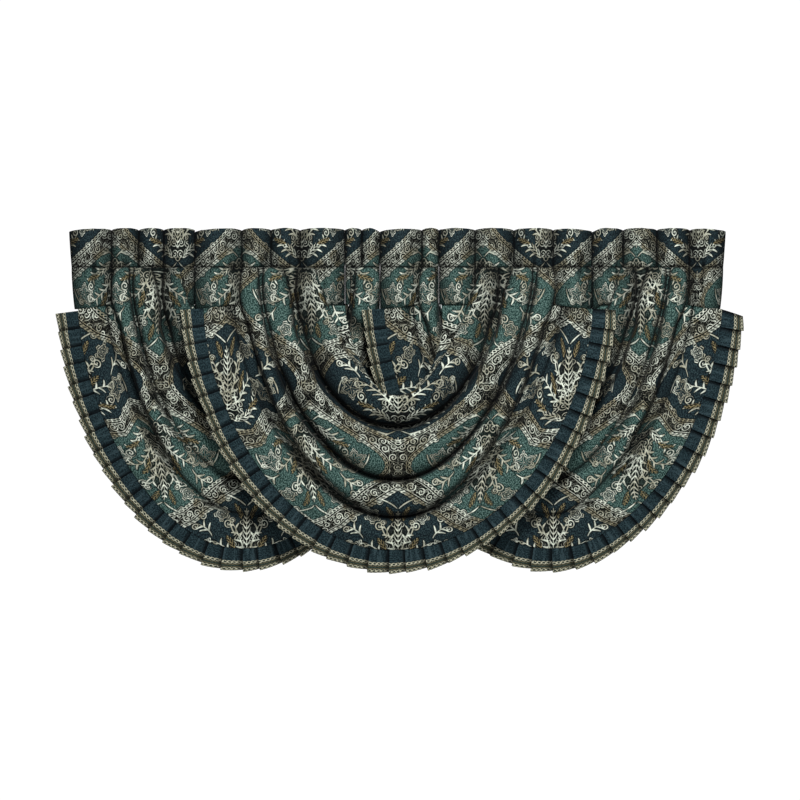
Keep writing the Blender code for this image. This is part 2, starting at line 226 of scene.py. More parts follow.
def line_point(swag, side, index, t, rise=1.0):
    """(X, out, drop) of a line of one side: t runs from below the pocket to the swag's middle."""
    line = LINES[index]
    top_away = side.tops.get(line.name, drawn(swag, line.top_away))
    top_drop, top_out, head = line.top_drop, line.top_out, line.head
    if not on_pocket(side, index):
        first, last = (NAMES.index(name) for name in side.on_pocket)
        if index < first:
            top_away = abs(side.outer - swag.middle) + BUNCH * (first - index)
        else:
            top_away = abs(side.inner - swag.middle) - BUNCH * (index - last)
        top_drop, top_out, head = BEHIND_DROP, BEHIND_OUT + 0.3 * line.mid_out, None
    elif line.name == "seam":
        top_out = side.corner
    if head is not None:
        waist = 0.0
        while cubic(top_drop, line.mid_drop, line.end_drop, line.end_drop, waist) < WAIST_DROP:
            waist += WAIST_STEP
        t = mix(waist, 1.0, t) if rise == 1.0 else waist * rise
    lean = side.lean * line.lean
    mid_away, low_away = drawn(swag, line.mid_away) - lean, drawn(swag, line.low_away) - lean
    away = cubic(top_away, mid_away, low_away, 0, t)
    drop = cubic(top_drop, line.mid_drop, line.end_drop, line.end_drop, t)
    out = cubic(top_out, line.mid_out, line.low_out, line.end_out, t)
    if head is not None:
        bulge = clamp((drop - STITCH_DROP) / SWELL_RUN)
        away += line.swell * 4 * bulge * (1 - bulge)
        start = cover(drop) + head * math.sin(math.pi / 2 * clamp((drop - STITCH_DROP) / HEAD_RUN))
        low = cubic(line.mid_out * 0.6, line.mid_out, line.low_out, line.end_out, t)
        out = mix(start, low, ramp(drop, WAIST_DROP, SETTLE_RUN))
    x = swag.middle + side.sign * away
    aside = x - swag.middle
    lower_right = ramp(aside, -120, 140) * (1 - ramp(aside, 200, 160)) * ramp(drop, 380, 160)
    drop -= RIGHT_RISE * float(lower_right)
    x -= RIGHT_INSET * float(ramp(aside, 330, 80) * ramp(drop, 250, 80))
    return x, settled(swag, x, drop, out), drop


def settled(swag, x, drop, out):
    """How far a point stands out once the swags lie on each other."""
    if swag.name == "centre":
        return out + LAYER * ramp(drop, LAYER_TOP, LAYER_DROP)
    below = ramp(drop, 225, 60)
    behind = LAID_BEHIND + LAID_SHARE * out
    if swag.name == "left":
        out = mix(out, PRESSED * out, ramp(x, -640, 80) * below)
        out = mix(out, behind, ramp(x, -420, 120) * below)
        under_centre = (1 - ramp(x, -138, 20)) * ramp(x, -260, 60)
        out = mix(out, behind, under_centre * ramp(drop, 200, 25))
        return mix(out, behind, ramp(x, -70, 40) * ramp(drop, 208, 25))
    out = mix(out, 18 + 0.4 * out, (1 - ramp(x, -28, 150)) * below)
    out = mix(out, PRESSED * out, (1 - ramp(x, 560, 80)) * ramp(x, 200, 60) * below)
    under_centre = ramp(x, 86, 16) * (1 - ramp(x, 160, 40))
    return mix(out, behind, under_centre * ramp(drop, 200, 25) * (1 - ramp(drop, 270, 60)))


def across(swag, side, t, rise):
    """{column: point} of one section of a side, from its seam to its hem, or of its pleats only."""
    def drawn_here(index):
        return rise == 1.0 or on_pocket(side, index) and LINES[index].head is not None

    points, column = {}, 0
    for k, (form, count) in enumerate(SPANS):
        count *= COLUMNS
        if drawn_here(k) and drawn_here(k + 1):
            a = line_point(swag, side, k, t, rise)
            b = line_point(swag, side, k + 1, t, rise)
            if on_pocket(side, k) != on_pocket(side, k + 1):
                form = "flat"
            for i in range(count + 1):
                share = i / count
                along = high = share
                if form == "round" and b[1] >= a[1]:
                    along, high = 1 - math.cos(math.pi / 2 * share), math.sin(math.pi / 2 * share)
                elif form == "round":
                    along, high = math.sin(math.pi / 2 * share), 1 - math.cos(math.pi / 2 * share)
                shares = (along, high, along)
                points[column + i] = tuple(mix(p, q, part) for p, q, part in zip(a, b, shares))
        column += count
    return points


def stations(steps):
    """(side number, t, rise) of each section, from the left top round the middle to the right."""
    over = [(0.0, rise) for rise in FLAP_ROWS]
    down = over + [((i / steps) ** 1.3, 1.0) for i in range(steps + 1)]
    return [(0, t, rise) for t, rise in down] + [(1, t, rise) for t, rise in reversed(down[:-1])]


def noise(u, v, seed):
    """Smooth noise from -1 to 1 over a grid of seeded random values, one unit apart."""
    values = np.random.default_rng(seed).uniform(-1, 1, (64, 64))
    i, j = np.floor(u).astype(int), np.floor(v).astype(int)
    a, b = smooth(u - i), smooth(v - j)
    i0, i1, j0, j1 = i % 64, (i + 1) % 64, j % 64, (j + 1) % 64
    low = mix(values[i0, j0], values[i1, j0], a)
    high = mix(values[i0, j1], values[i1, j1], a)
    return mix(low, high, b)


def normals(grid):
    """The direction that each point of a grid of points faces, towards the front."""
    down, along = np.zeros_like(grid), np.zeros_like(grid)
    for axis, way in ((0, down), (1, along)):
        ahead = np.roll(grid, -1, axis) - grid
        behind = grid - np.roll(grid, 1, axis)
        edge = [slice(None)] * 3
        edge[axis] = -1
        ahead[tuple(edge)] = np.nan
        edge[axis] = 0
        behind[tuple(edge)] = np.nan
        for step in (ahead, behind):
            length = np.linalg.norm(step, axis=2, keepdims=True)
            way += np.nan_to_num(step / np.maximum(length, 1e-9))
    facing = np.cross(down, along)
    return facing / np.maximum(np.linalg.norm(facing, axis=2, keepdims=True), 1e-9)


def eased(grid, times):
    """The grid with its sharp creases softened along each row."""
    for _ in range(times):
        middle = (grid[:, :-2] + grid[:, 2:]) / 2
        inner = grid[:, 1:-1]
        grid = grid.copy()
        grid[:, 1:-1] = np.where(np.isnan(middle), inner, mix(inner, middle, 0.5))
    return grid


def arc_lengths(grid, axis):
    """How far along an axis of the grid each point is, measured on the cloth."""
    step = np.nan_to_num(np.linalg.norm(np.diff(grid, axis=axis), axis=2))
    pad = [(0, 0), (0, 0)]
    pad[axis] = (1, 0)
    return np.cumsum(np.pad(step, pad), axis)


def add_mesh(name, points, faces, uvs, folds, materials, slots=None):
    """A mesh from points in millimetres (X, out, drop), each with its place in the flat cloth
    and how much shade is painted on it."""
    points = np.asarray(points, float)
    world = np.column_stack([points[:, 0], -points[:, 1], -points[:, 2]]) * MM
    mesh = bpy.data.meshes.new(name)
    mesh.from_pydata(world.tolist(), [], faces)
    layer = mesh.uv_layers.new(name="cloth")
    corner = np.empty(len(mesh.loops), int)
    mesh.loops.foreach_get("vertex_index", corner)
    layer.data.foreach_set("uv", np.asarray(uvs, float)[corner].ravel())
    # The painted shade of each point, kept as the mesh attribute fold.
    depth = mesh.attributes.new("fold", "FLOAT", "POINT")
    depth.data.foreach_set("value", np.asarray(folds, float))
    for material in materials:
        mesh.materials.append(material)
    if slots is not None:
        mesh.polygons.foreach_set("material_index", slots)
    mesh.shade_smooth()
    obj = bpy.data.objects.new(name, mesh)
    bpy.context.scene.collection.objects.link(obj)
    return obj


def sheet_mesh(name, grid, flat, folds, thickness, materials):
    """A closed sheet of a thickness through a grid of points. NaN points are left out."""
    facing = normals(grid)
    there = ~np.isnan(grid[:, :, 0])
    number = np.full(there.shape, -1)
    number[there] = np.arange(there.sum()) * 2
    front = grid[there] + facing[there] * thickness / 2
    back = grid[there] - facing[there] * thickness / 2
    points = np.stack([front, back], 1).reshape(-1, 3)
    uvs, folds = np.repeat(flat[there], 2, 0), np.repeat(folds[there], 2)
    quads = np.stack([number[:-1, :-1], number[1:, :-1], number[1:, 1:], number[:-1, 1:]], 2)
    quads = quads[(quads >= 0).all(2)]
    edges = set()
    for quad in quads.tolist():
        edges |= set(zip(quad, quad[1:] + quad[:1]))
    rim = [[a + 1, b + 1, b, a] for a, b in sorted(edges) if (b, a) not in edges]
    faces = quads.tolist() + (quads[:, ::-1] + 1).tolist() + rim
    slots = [0] * len(quads) + [len(materials) - 1] * len(quads) + [0] * len(rim)
    return add_mesh(name, points, faces, uvs, folds, materials, slots)


def fold_depth(grid, reach, full):
    """0 on open cloth to 1 in a valley: how far a point lies behind the cloth on both its sides."""
    out = np.where(np.isnan(grid[:, :, 1]), -99.0, grid[:, :, 1])
    before, after = out.copy(), out.copy()
    for k in range(1, reach):
        fade = 0.25 * k
        before[:, k:] = np.maximum(before[:, k:], out[:, :-k] - fade)
        after[:, :-k] = np.maximum(after[:, :-k], out[:, k:] - fade)
    return smooth((np.minimum(before, after) - out - 2) / full)


def pleat_edge_shade(grid):
    """Painted shade in the crease at either edge of each pleat: 1 there, fading to 0 over a short way."""
    over = arc_lengths(grid, 1)
    dark = np.zeros(over.shape)
    low = smooth((np.arange(len(grid)) - len(FLAP_ROWS)) / ROWS_DOWN * 1.3)
    low = np.minimum(low, low[::-1])[:, None]
    column = 0
    for k, (form, count) in enumerate(SPANS):
        if LINES[k].name in CREASES:
            outer, inner, depth = CREASES[LINES[k].name]
            way = over - over[:, column, None]
            soft = np.exp(-((way / np.where(way < 0, outer, inner)) ** 2))
            core = np.exp(-((way / 5) ** 2)) * (1 - 0.72 * low)
            dark = np.maximum(dark, np.maximum(core, depth * (1 - 0.3 * low) * soft))
        column += count * COLUMNS
    return dark


# The shade at the edges of the pleats: how far it reaches towards the ruffle and away from it,
# in millimetres of cloth, and how deep it is
CREASES = {
    "ear_tuck": (10, 10, 0.4), "pleat1_near": (14, 10, 0.55), "pleat1_far": (12, 14, 0.55),
    "pleat2_near": (14, 10, 0.55), "pleat2_far": (22, 18, 0.65), "pleat3_near": (12, 52, 0.85),
    "tuck": (10, 10, 0.5),
}


# The wrinkles of the open cloth: their sizes across and along the folds, height and shift
WRINKLES = [(62, 300, 3.4, 0), (27, 130, 1.7, 9), (13, 46, 0.7, 5)]
# The same of the gathers at the stitching
GATHERS = (7.5, 90, 1.3)
SEEDS = {"left": 11, "right": 23, "centre": 37}
RUFFLE_SEED = 50
BAND_SEED = 80


def swag_cloth(swag):
    """The draped sheet of a swag: its points, their places on the flat cloth, and in the design."""
    sides = (swag.left, swag.right)
    places = stations(ROWS_DOWN)
    width = sum(count for form, count in SPANS) * COLUMNS + 1
    grid = np.full((len(places), width, 3), np.nan)
    for row, (k, t, rise) in enumerate(places):
        for column, point in across(swag, sides[k], t, rise).items():
            grid[row, column] = point
    grid = eased(grid, 3)
    over, down = arc_lengths(grid, 1), arc_lengths(grid, 0)
    drop, out, seed = grid[:, :, 2], grid[:, :, 1], SEEDS[swag.name]
    free = ramp(drop, 215, 70) * ramp(out, -4, 14) * ramp(over, 0, 30)
    free = free * ramp(over[:, -1:] - over, 0, 20)
    waves = sum(
        noise(over / wide + shift, down / long, seed + n) * height
        for n, (wide, long, height, shift) in enumerate(WRINKLES)
    )
    wide, long, height = GATHERS
    gathers = (1 - ramp(drop, 110, 60)) * noise(over / wide, down / long, seed + 3) * height
    moved = np.nan_to_num(free * waves) + np.nan_to_num(gathers)
    grid = grid + normals(grid) * moved[:, :, None]
    flat, design = (laid_flat(swag, grid, places, lay_row) for lay_row in (spread_row, design_row))
    return tucked_up(sides, places, grid), flat, design


def tucked_up(sides, places, grid):
    """The grid with its top row drawn up to the seam under the pocket, where it starts there."""
    grid = grid.copy()
    rows = [i for i, place in enumerate(places) if place[2] == 1.0]
    half = len(rows) // 2
    for side, way in ((sides[0], rows[:half]), (sides[1], rows[::-1][:half])):
        first = way[0]
        starts = grid[first].copy()
        low, high = sorted((side.inner, side.outer))
        near = (starts[:, 0] > low - 4) & (starts[:, 0] < high + 4) & (starts[:, 2] < HIDDEN_FROM)
        from_ear = np.abs(starts[:, 0] - side.outer)
        along = smooth(arc_lengths(grid[first:first + 1], 1)[0] / 70)
        seam = pocket_bottom(from_ear) + 1.0 - 2.5 * along
        flap = ~np.isnan(grid[first + (1 if first > way[-1] else -1), :, 0])
        hidden = (starts[:, 2] >= HIDDEN_FROM) & (starts[:, 2] < HIDDEN_TO)
        lift = np.where(hidden, HIDDEN_TOP - starts[:, 2], 0.0)
        lift = np.where(near & ~flap, seam - starts[:, 2], lift)
        push = np.where(near & ~flap, (TUCKED_OUT - starts[:, 1]) * along, 0.0)
        for i in way:
            fade = 1 - ramp(grid[i, :, 2], starts[:, 2], TUCK_RUN)
            grid[i, :, 2] += lift * fade
            grid[i, :, 1] += push * fade
    return grid


def laid_flat(swag, grid, places, lay_row):
    """Where each point of a swag lies on the flat cloth, in metres, upright at the middle. Each
    row below the pocket is laid by lay_row, and the pleats over the pocket follow on upwards."""
    flat = np.zeros(grid.shape[:2] + (2,))
    rows = [i for i, (_, _, rise) in enumerate(places) if rise == 1.0]
    over = arc_lengths(grid, 1)
    for i in rows:
        flat[i] = lay_row(grid[i][:, [0, 2]], over[i])
    for i, (_, _, rise) in enumerate(places):
        if rise < 1.0:
            near = rows[0] if i < rows[0] else rows[-1]
            flat[i] = flat[near]
            flat[i, :, 1] -= np.nan_to_num(grid[near, :, 2] - grid[i, :, 2])
    return (flat - [swag.middle, 0]) * [MM, -MM]


def towards_hem(spots):
    """The direction from the seam to the hem."""
    way = spots[-1] - spots[0]
    return way / np.linalg.norm(way)


def spread_row(spots, over):
    """A row pulled straight from its seam: the true size of the cloth."""
    return spots[0] + over[:, None] * towards_hem(spots)


def line_columns():
    """The column of the grid at which each line of a swag lies."""
    counts = [count * COLUMNS for form, count in SPANS]
    return dict(zip(NAMES, np.cumsum([0] + counts).tolist()))


def design_row(spots, over):
    """A row whose surplus is hidden in the valleys: the design starts afresh on each pleat."""
    columns = line_columns()
    walls = [columns[name] for name in ("pleat1_near", "pleat2_near", "pleat3_near")]
    starts = [0] + [wall + WALL_COLUMNS for wall in walls]
    ends = walls + [columns["hem"]]
    way = towards_hem(spots)
    row = np.zeros_like(spots)
    last = spots[0]
    for n, (a, b) in enumerate(zip(starts, ends)):
        anchor = last if np.isnan(spots[a][0]) else spots[a]
        row[a:b + 1] = anchor + (over[a:b + 1] - over[a])[:, None] * way
        if n:
            share = (np.arange(1, WALL_COLUMNS) / WALL_COLUMNS)[:, None]
            before = row[ends[n - 1]]
            row[ends[n - 1] + 1:a] = before + (row[a] - before) * share
        last = row[b]
    return row


def seam_frames(swag, fine=160):
    """The seam as (arc length, point, outward direction, tilt) at many places along it."""
    sides = (swag.left, swag.right)
    below = [(k, t) for k, t, rise in stations(fine) if rise == 1.0]
    places = [(k, t, line_point(swag, sides[k], 0, t)) for k, t in below]
    points = np.array([place[2] for place in places], float)
    lengths = np.concatenate([[0], np.cumsum(np.linalg.norm(np.diff(points, axis=0), axis=1))])
    ahead = np.gradient(points, axis=0)
    outward = np.column_stack([-ahead[:, 2], 0 * ahead[:, 0], ahead[:, 0]])
    outward /= np.linalg.norm(outward, axis=1, keepdims=True)
    tilt = np.array([sides[k].tilt * (1 - smooth(t / 0.35)) for k, t, _ in places])
    return lengths, points, outward, tilt


def on_seam(frames, length):
    """Points, outward directions and tilts at arc lengths along a seam."""
    lengths, points, outward, tilt = frames
    inside = np.clip(length, 0, lengths[-1])
    point = np.column_stack([np.interp(inside, lengths, points[:, k]) for k in range(3)])
    way = np.column_stack([np.interp(inside, lengths, outward[:, k]) for k in range(3)])
    way /= np.linalg.norm(way, axis=1, keepdims=True)
    before = (points[1] - points[0]) / (lengths[1] - lengths[0])
    after = (points[-1] - points[-2]) / (lengths[-1] - lengths[-2])
    past = length - inside
    point += np.where(past[:, None] < 0, past[:, None] * before, past[:, None] * after)
    return point, way, np.interp(inside, lengths, tilt)


# One pleat of the ruffle from its fold edge to the next one: share of the pitch, share of the rise
PLEAT_SHAPE = [
    (0.0, 0.93), (0.012, 1.0), (0.05, 1.02), (0.14, 0.94), (0.3, 0.78), (0.5, 0.58),
    (0.7, 0.37), (0.88, 0.16), (1.0, 0.04), (1.07, -0.02), (1.085, 0.05), (1.06, 0.3), (1.02, 0.62),
]


def ruffle_profile(frames, seed):
    """The pleated strip's section: arc length, height, place in the flat strip, share, pleat."""
    total = frames[0][-1]
    count = round(total / PLEAT)
    rng = np.random.default_rng(seed)
    edges = np.linspace(0, total, count + 1)
    edges[1:-1] += rng.uniform(-0.09, 0.09, count - 1) * PLEAT
    edges[0] -= END_OVER
    edges[-1] += END_OVER
    rises = rng.uniform(0.75, 1.1, count)
    rows = []
    for i in range(count):
        pitch = edges[i + 1] - edges[i]
        last = i == count - 1
        for share, rise in PLEAT_SHAPE:
            if last and share > 1.0:
                continue
            fall = share if share <= 1.0 else 2.0 - share
            laid = FULLNESS * i * PLEAT + share * pitch
            rows.append((edges[i] + share * pitch, rise * rises[i], laid, fall, i))
    return np.array(rows), rng.uniform(-1, 1, (count, 4))


def settled_corner(swag, length, frames, width):
    """How far the free end of a side swag's ruffle slides down its seam, more at its outer edge."""
    if swag.name == "left":
        return (5 + 0.05 * width) * np.exp(-np.maximum(length, 0) / 30)
    if swag.name == "right":
        return (-1 - 0.2 * width) * np.exp(-np.maximum(frames[0][-1] - length, 0) / 30)
    return 0.0


def evened(aside, drop):
    """The width of the ruffle at a place on the seam, as a share of its usual width."""
    low = ramp(drop, 450, 100)
    right = ramp(aside, 0, 150) * (1 - ramp(aside, 250, 100))
    return 1 - 0.06 * right + 0.05 * ramp(-aside, 120, 60) * low - 0.06 * ramp(-aside, 380, 60) * (1 - low)


def pleated_cloth(swag, seed, widths, raised):
    """A strip of the ruffle: a grid of points across some widths, its places laid flat, and its painted
    shade.
    """
    frames = seam_frames(swag)
    profile, odd = ruffle_profile(frames, seed)
    length, height, laid, share, pleat = profile.T
    pleat = pleat.astype(int)
    grid, flat = [], []
    for width in widths:
        loose = 0.35 + 0.65 * ramp(width, -4, 40)
        slip = (odd[pleat, 0] * 0.03 + 0.028) * max(width, 0) * (0.4 - share)
        slip += settled_corner(swag, length, frames, width)
        point, way, tilt = on_seam(frames, length + slip)
        splay = PLEAT_SPLAY * (1.0 - 2.6 * share + odd[pleat, 1] * 0.9)
        stretch = (width + max(width - 20, 0) / 40 * splay) * evened(point[:, 0] - swag.middle, point[:, 2])
        lift = (height - 0.5) * PLEAT_RISE * loose + tilt * width + raised
        lift += 0.8 * odd[pleat, 2] * np.sin(math.pi * np.clip(share, 0, 1)) * width / RUFFLE
        spot = point + way * stretch[:, None]
        spot[:, 1] += lift
        grid.append(spot)
        flat.append(np.column_stack([laid * MM, np.full(len(laid), width * MM)]))
    # Painted shade where each pleat runs under the next one.
    crease = ramp(share, 0.66, 0.3) * (share <= 1.0) + (share > 1.0)
    folds = np.repeat(np.clip(crease, 0, 1)[None, :], len(widths), 0)
    return np.array(grid), np.array(flat), folds


# Where the pocket's corner hangs down behind the end of a ruffle
TONGUES = {"right_band_outer": 499, "left_band_inner": -52}
TONGUE_DROP = 17.0
TONGUE_HALF_WIDTH = 28.0
# How far the free ends of the outer bands stand aside in X
OUTER_ENDS = {"left_band_outer": -6.0, "right_band_outer": -2.5}
# How many points go round a loop, how full it is gathered, and where the design starts on it
RING = 88
GATHERED = 1.35
BAND_SHIFT = 0.065


def ear_distance(band, x):
    """How far a place lies from the band's end that carries an ear."""
    if not band.ear:
        return EAR_END_SLOPE
    return x - band.start if band.ear < 0 else band.end - x


def band_ring(band, x, top_wave, pucker):
    """The loop of a band at X, up the front and down the back: (out, drop, shade painted there)."""
    edges = (band.start, *band.gathers, band.end)
    k = max(i for i, edge in enumerate(edges[:-1]) if x >= edge - 0.01)
    share = clamp((x - edges[k]) / (edges[k + 1] - edges[k]))
    arch = math.sin(math.pi * share) if 0 < share < 1 else 0.0
    puff = arch ** 0.6
    from_gather = (0.5 - abs(share - 0.5)) * (edges[k + 1] - edges[k])
    covered = ramp(x, band.covered[0] - COVER_RUN, COVER_RUN) * (1 - ramp(x, band.covered[1], COVER_RUN))
    heading = mix(HEADING_PINCH, HEADING_PUFF, puff)
    depth = mix(mix(POCKET_DEPTH, POCKET_PUFFED, puff), POCKET_PRESSED, covered)
    bottom = pocket_bottom(ear_distance(band, x))
    if band.name in TONGUES:
        bottom += TONGUE_DROP * smooth(1 - abs(x - TONGUES[band.name]) / TONGUE_HALF_WIDTH)
    notch = NOTCH * (1 - arch ** 0.4) if 0 < share < 1 or 0 < k else 0.0
    sag = 0.3 * (bottom - POCKET_BOTTOM) + notch + top_wave - HEADING_OVER
    quarters = (
        (1.0, depth, bottom, STITCH_DROP), (1.0, heading, STITCH_DROP, sag),
        (-1.0, 0.8 * heading, sag, STITCH_DROP), (-1.0, POCKET_DEPTH, STITCH_DROP, bottom),
    )
    rows = []
    for i in range(RING):
        quarter, s = int(i / RING * 4), i / RING * 4 % 1
        side, wide, start, end = quarters[quarter]
        s = 0.5 - 0.5 * math.cos(math.pi * s)
        rise = math.sin(math.pi * s) ** 0.62 if 0 < s < 1 else 0.0
        drop = mix(start, end, s)
        stitched = abs(drop - STITCH_DROP)
        near = math.exp(-stitched / 26)
        out = side * (STITCH_OUT * (1 - s if quarter % 2 else s) + (wide - 1) * rise)
        out += (1 if side > 0 else -0.5) * pucker * near * min(1, stitched / 5)
        # Painted shade towards and at the gathers, along the stitching and in the puckers.
        crease = max(
            0.62 * (1 - arch) ** 0.9, math.exp(-((from_gather / 4.5) ** 2)),
            0.8 * math.exp(-stitched / 3.6), near * smooth(-pucker / 1.2) * 0.85,
        )
        rows.append((out, drop, crease))
    return rows


def band_cloth(band, seed):
    """A heading and rod pocket as one loop of cloth: a closed tube with its ends left open."""
    edges = (band.start + BAND_GAP / 2, *band.gathers, band.end - BAND_GAP / 2)
    places = []
    for a, b in zip(edges, edges[1:]):
        steps = max(8, round((b - a) / 3.2))
        places += [mix(a, b, 0.5 - 0.5 * math.cos(math.pi * i / steps)) for i in range(steps)]
    places.append(edges[-1])
    places = np.array(places)
    zero = np.zeros_like(places)
    waves = noise(places / 23, zero, seed) * 1.1
    puckers = noise(places / 7, zero + 3, seed) * 1.3 + noise(places / 15, zero + 7, seed) * 0.9
    length = band.end - band.start
    rows, flat, folds = [], [], []
    for n, x in enumerate(places):
        ring = band_ring(band, x, abs(waves[n]), puckers[n])
        at_end = (1 - ramp(ear_distance(band, x), 0, 0.4 * length)) * (band.ear != 0)
        aside = OUTER_ENDS.get(band.name, 0.0) * at_end
        slant = -band.ear * BAND_END_SLANT * band.name.endswith("outer") * at_end
        u = (x - band.start) * MM * GATHERED + BAND_SHIFT
        rows.append([(x + aside + slant * drop / POCKET_BOTTOM, out, drop) for out, drop, _ in ring])
        flat.append([(u, -drop * MM) for _, drop, _ in ring])
        folds.append([crease for _, _, crease in ring])
    return np.array(rows), np.array(flat), np.array(folds)


def tube_mesh(name, rows, flat, folds, thickness, materials):
    """A closed tube wall of a thickness through rings of points."""
    count, around = rows.shape[:2]
    ahead = np.gradient(rows, axis=0)
    round_ = np.roll(rows, -1, 1) - np.roll(rows, 1, 1)
    facing = np.cross(round_, ahead)
    facing /= np.maximum(np.linalg.norm(facing, axis=2, keepdims=True), 1e-9)
    if np.mean(facing[:, around // 8, 1]) < 0:
        facing = -facing
    points = np.concatenate([rows + facing * thickness / 2, rows - facing * thickness / 2]).reshape(-1, 3)
    inner = count * around
    faces, slots = [], []
    for s in range(count - 1):
        for i in range(around):
            j = (i + 1) % around
            a, b, c, d = s * around + i, (s + 1) * around + i, (s + 1) * around + j, s * around + j
            faces += [(a, b, c, d), (inner + d, inner + c, inner + b, inner + a)]
            slots += [0, len(materials) - 1]
    for s in (0, count - 1):
        for i in range(around):
            j = (i + 1) % around
            a, d = s * around + i, s * around + j
            quad = (d, a, inner + a, inner + d)
            faces.append(quad[::-1] if s == 0 else quad)
            slots.append(0)
    uvs, folds = np.concatenate([flat.reshape(-1, 2)] * 2), np.concatenate([folds.ravel()] * 2)
    return add_mesh(name, points, faces, uvs, folds, materials, slots)


class Field:
    """A number that varies over the cloth, built from Math nodes by ordinary arithmetic."""

    tree = None

    def __init__(self, socket):
        self.socket = socket

    @staticmethod
    def math(operation, *values, clamped=False):
        node = new_node("Math")
        node.operation = operation
        node.use_clamp = clamped
        return fed(node, dict(enumerate(values)))

    def __add__(self, other):
        return Field.math("ADD", self, other)

    def __sub__(self, other):
        return Field.math("SUBTRACT", self, other)

    def __rsub__(self, other):
        return Field.math("SUBTRACT", other, self)

    def __mul__(self, other):
        return Field.math("MULTIPLY", self, other)

    def __truediv__(self, other):
        return Field.math("DIVIDE", self, other)

    __radd__, __rmul__ = __add__, __mul__


sine, cosine, size, root, larger, smaller = (
    partial(Field.math, operation)
    for operation in ("SINE", "COSINE", "ABSOLUTE", "SQRT", "MAXIMUM", "MINIMUM")
)


def new_node(kind):
    return Field.tree.nodes.new("ShaderNode" + kind)


def fed(node, inputs, output=0):
    """An output of a node, once fields or plain values have gone into some of its inputs."""
    for name, value in inputs.items():
        if isinstance(value, Field):
            Field.tree.links.new(value.socket, node.inputs[name])
        else:
            node.inputs[name].default_value = value
    return Field(node.outputs[output])


def step(value, soft):
    """0 where value is below -soft, 1 where it is above soft, and in between a ramp."""
    return Field.math("MULTIPLY_ADD", value, 0.5 / soft, 0.5, clamped=True)


def vector(x, y):
    return fed(new_node("CombineXYZ"), {0: x, 1: y})


def parts(value):
    node = new_node("SeparateXYZ")
    fed(node, {0: value})
    return [Field(socket) for socket in node.outputs]


def grain(place, scale, detail=2.0, stretch=(1.0, 1.0)):
    """Noise from 0 to 1 over a place in the cloth."""
    x, y, _ = parts(place)
    node = new_node("TexNoise")
    node.noise_dimensions = "2D"
    spot = vector(x * stretch[0], y * stretch[1])
    return fed(node, {"Scale": scale, "Detail": detail, "Vector": spot}, "Fac")


def blend(share, a, b):
    """Colour a where share is 0 and b where it is 1."""
    node = new_node("Mix")
    node.data_type = "RGBA"
    a, b = (colour if isinstance(colour, Field) else (*colour, 1.0) for colour in (a, b))
    return fed(node, {0: share, 6: a, 7: b}, 2)


def inside(distance, soft=0.0005):
    """1 where a distance is above 0, inside a shape, and 0 outside it."""
    return step(distance, soft)


def polar(x, y, middle_x, middle_y):
    dx, dy = x - middle_x, y - middle_y
    return root(dx * dx + dy * dy), Field.math("ARCTAN2", dy, dx)


def along_stroke(x, y, start, turn, length, half_width, bend):
    """A place as seen from a curved stroke that leaves its start at turn degrees: its share of
    the length, how far aside it is, the half width there, and how far beyond the ends it is."""
    c, s = math.cos(math.radians(turn)), math.sin(math.radians(turn))
    dx, dy = x - start[0] * MM, y - start[1] * MM
    a = (dx * c + dy * s) / (length * MM)
    b = dy * c - dx * s - a * a * (bend * MM)
    full = root(Field.math("MULTIPLY", a, 1.0 - a, clamped=True)) * (2 * half_width * MM)
    return a, b, full, larger(size(a - 0.5) - 0.5, 0.0) * (length * MM)


def on_stroke(start, turn, length, bend, share=1.0):
    """A place on a stroke, and the direction of the stroke there, in millimetres."""
    way = np.array([math.cos(math.radians(turn)), math.sin(math.radians(turn))])
    left = np.array([-way[1], way[0]])
    ahead = length * way + 2 * bend * share * left
    return np.array(start) + length * share * way + bend * share ** 2 * left, ahead / np.linalg.norm(ahead)


def curl(x, y, middle, radius, turn, hand=1.0, turns=1.5, half_width=1.3):
    """How far inside the line of a volute a place is."""
    r, angle = polar(x, y, middle[0] * MM, middle[1] * MM)
    pitch = radius / turns * MM
    beat = Field.math("FRACT", r / pitch - angle * (hand / math.tau) + turn)
    return smaller(half_width * MM - size((beat - 0.5) * pitch), radius * MM - r)


def hooked(x, y, start, turn, length, half_width, bend, radius):
    """How far inside a stroke, or the volute at its tip on the side to which it bends."""
    _, b, full, beyond = along_stroke(x, y, start, turn, length, half_width, bend)
    shape = full - size(b) - beyond
    if not radius:
        return shape
    end, ahead = on_stroke(start, turn, length, bend)
    hand = 1.0 if bend > 0 else -1.0
    middle = end + hand * radius * 0.8 * np.array([-ahead[1], ahead[0]])
    return larger(shape, curl(x, y, middle, radius, 0.3, hand))


# The medallion, drawn on one side of its axis in millimetres. Thin strokes: start, direction,
# length, half width, bend and the radius of the volute at the tip
STROKES = [
    ((30, 22), 48, 38, 1.7, 14, 8.0),
    ((148, -30), 98, 40, 1.7, 12, 8.5),
    ((2, 100), 52, 44, 1.7, -14, 8.5),
]
# The same with shoots to both sides, which leave them at these shares of their length
VINES = [
    ((2, -76), 92, 132, 1.6, -44, 12.0, (0.2, 0.36, 0.52, 0.68, 0.84)),
    ((3, -70), 64, 104, 1.6, -42, 12.0, (0.28, 0.46, 0.64, 0.82)),
    ((5, -100), 12, 98, 1.6, 40, 11.0, (0.26, 0.44, 0.62, 0.8)),
    ((4, -112), -46, 66, 1.5, 26, 10.0, (0.3, 0.52, 0.74)),
    ((92, 18), 66, 48, 1.5, -24, 9.5, (0.35, 0.65)),
]
PAIR_STEP = 0.07
LEAF_TURN = 30
LEAF_LENGTH, LEAF_TAPER, LEAF_HALF_WIDTH, LEAF_BEND = 24, 8, 2.4, 8
# Leaves made of slanting ribs: start, direction, length, half width, bend, number of ribs
FRONDS = [
    ((0, -20), 90, 112, 13.0, 0, 8),
    ((0, -74), 90, 50, 13.0, 0, 4),
    ((18, -100), 52, 54, 12.0, -12, 4),
    ((0, -198), 90, 62, 12.0, 0, 5),
]
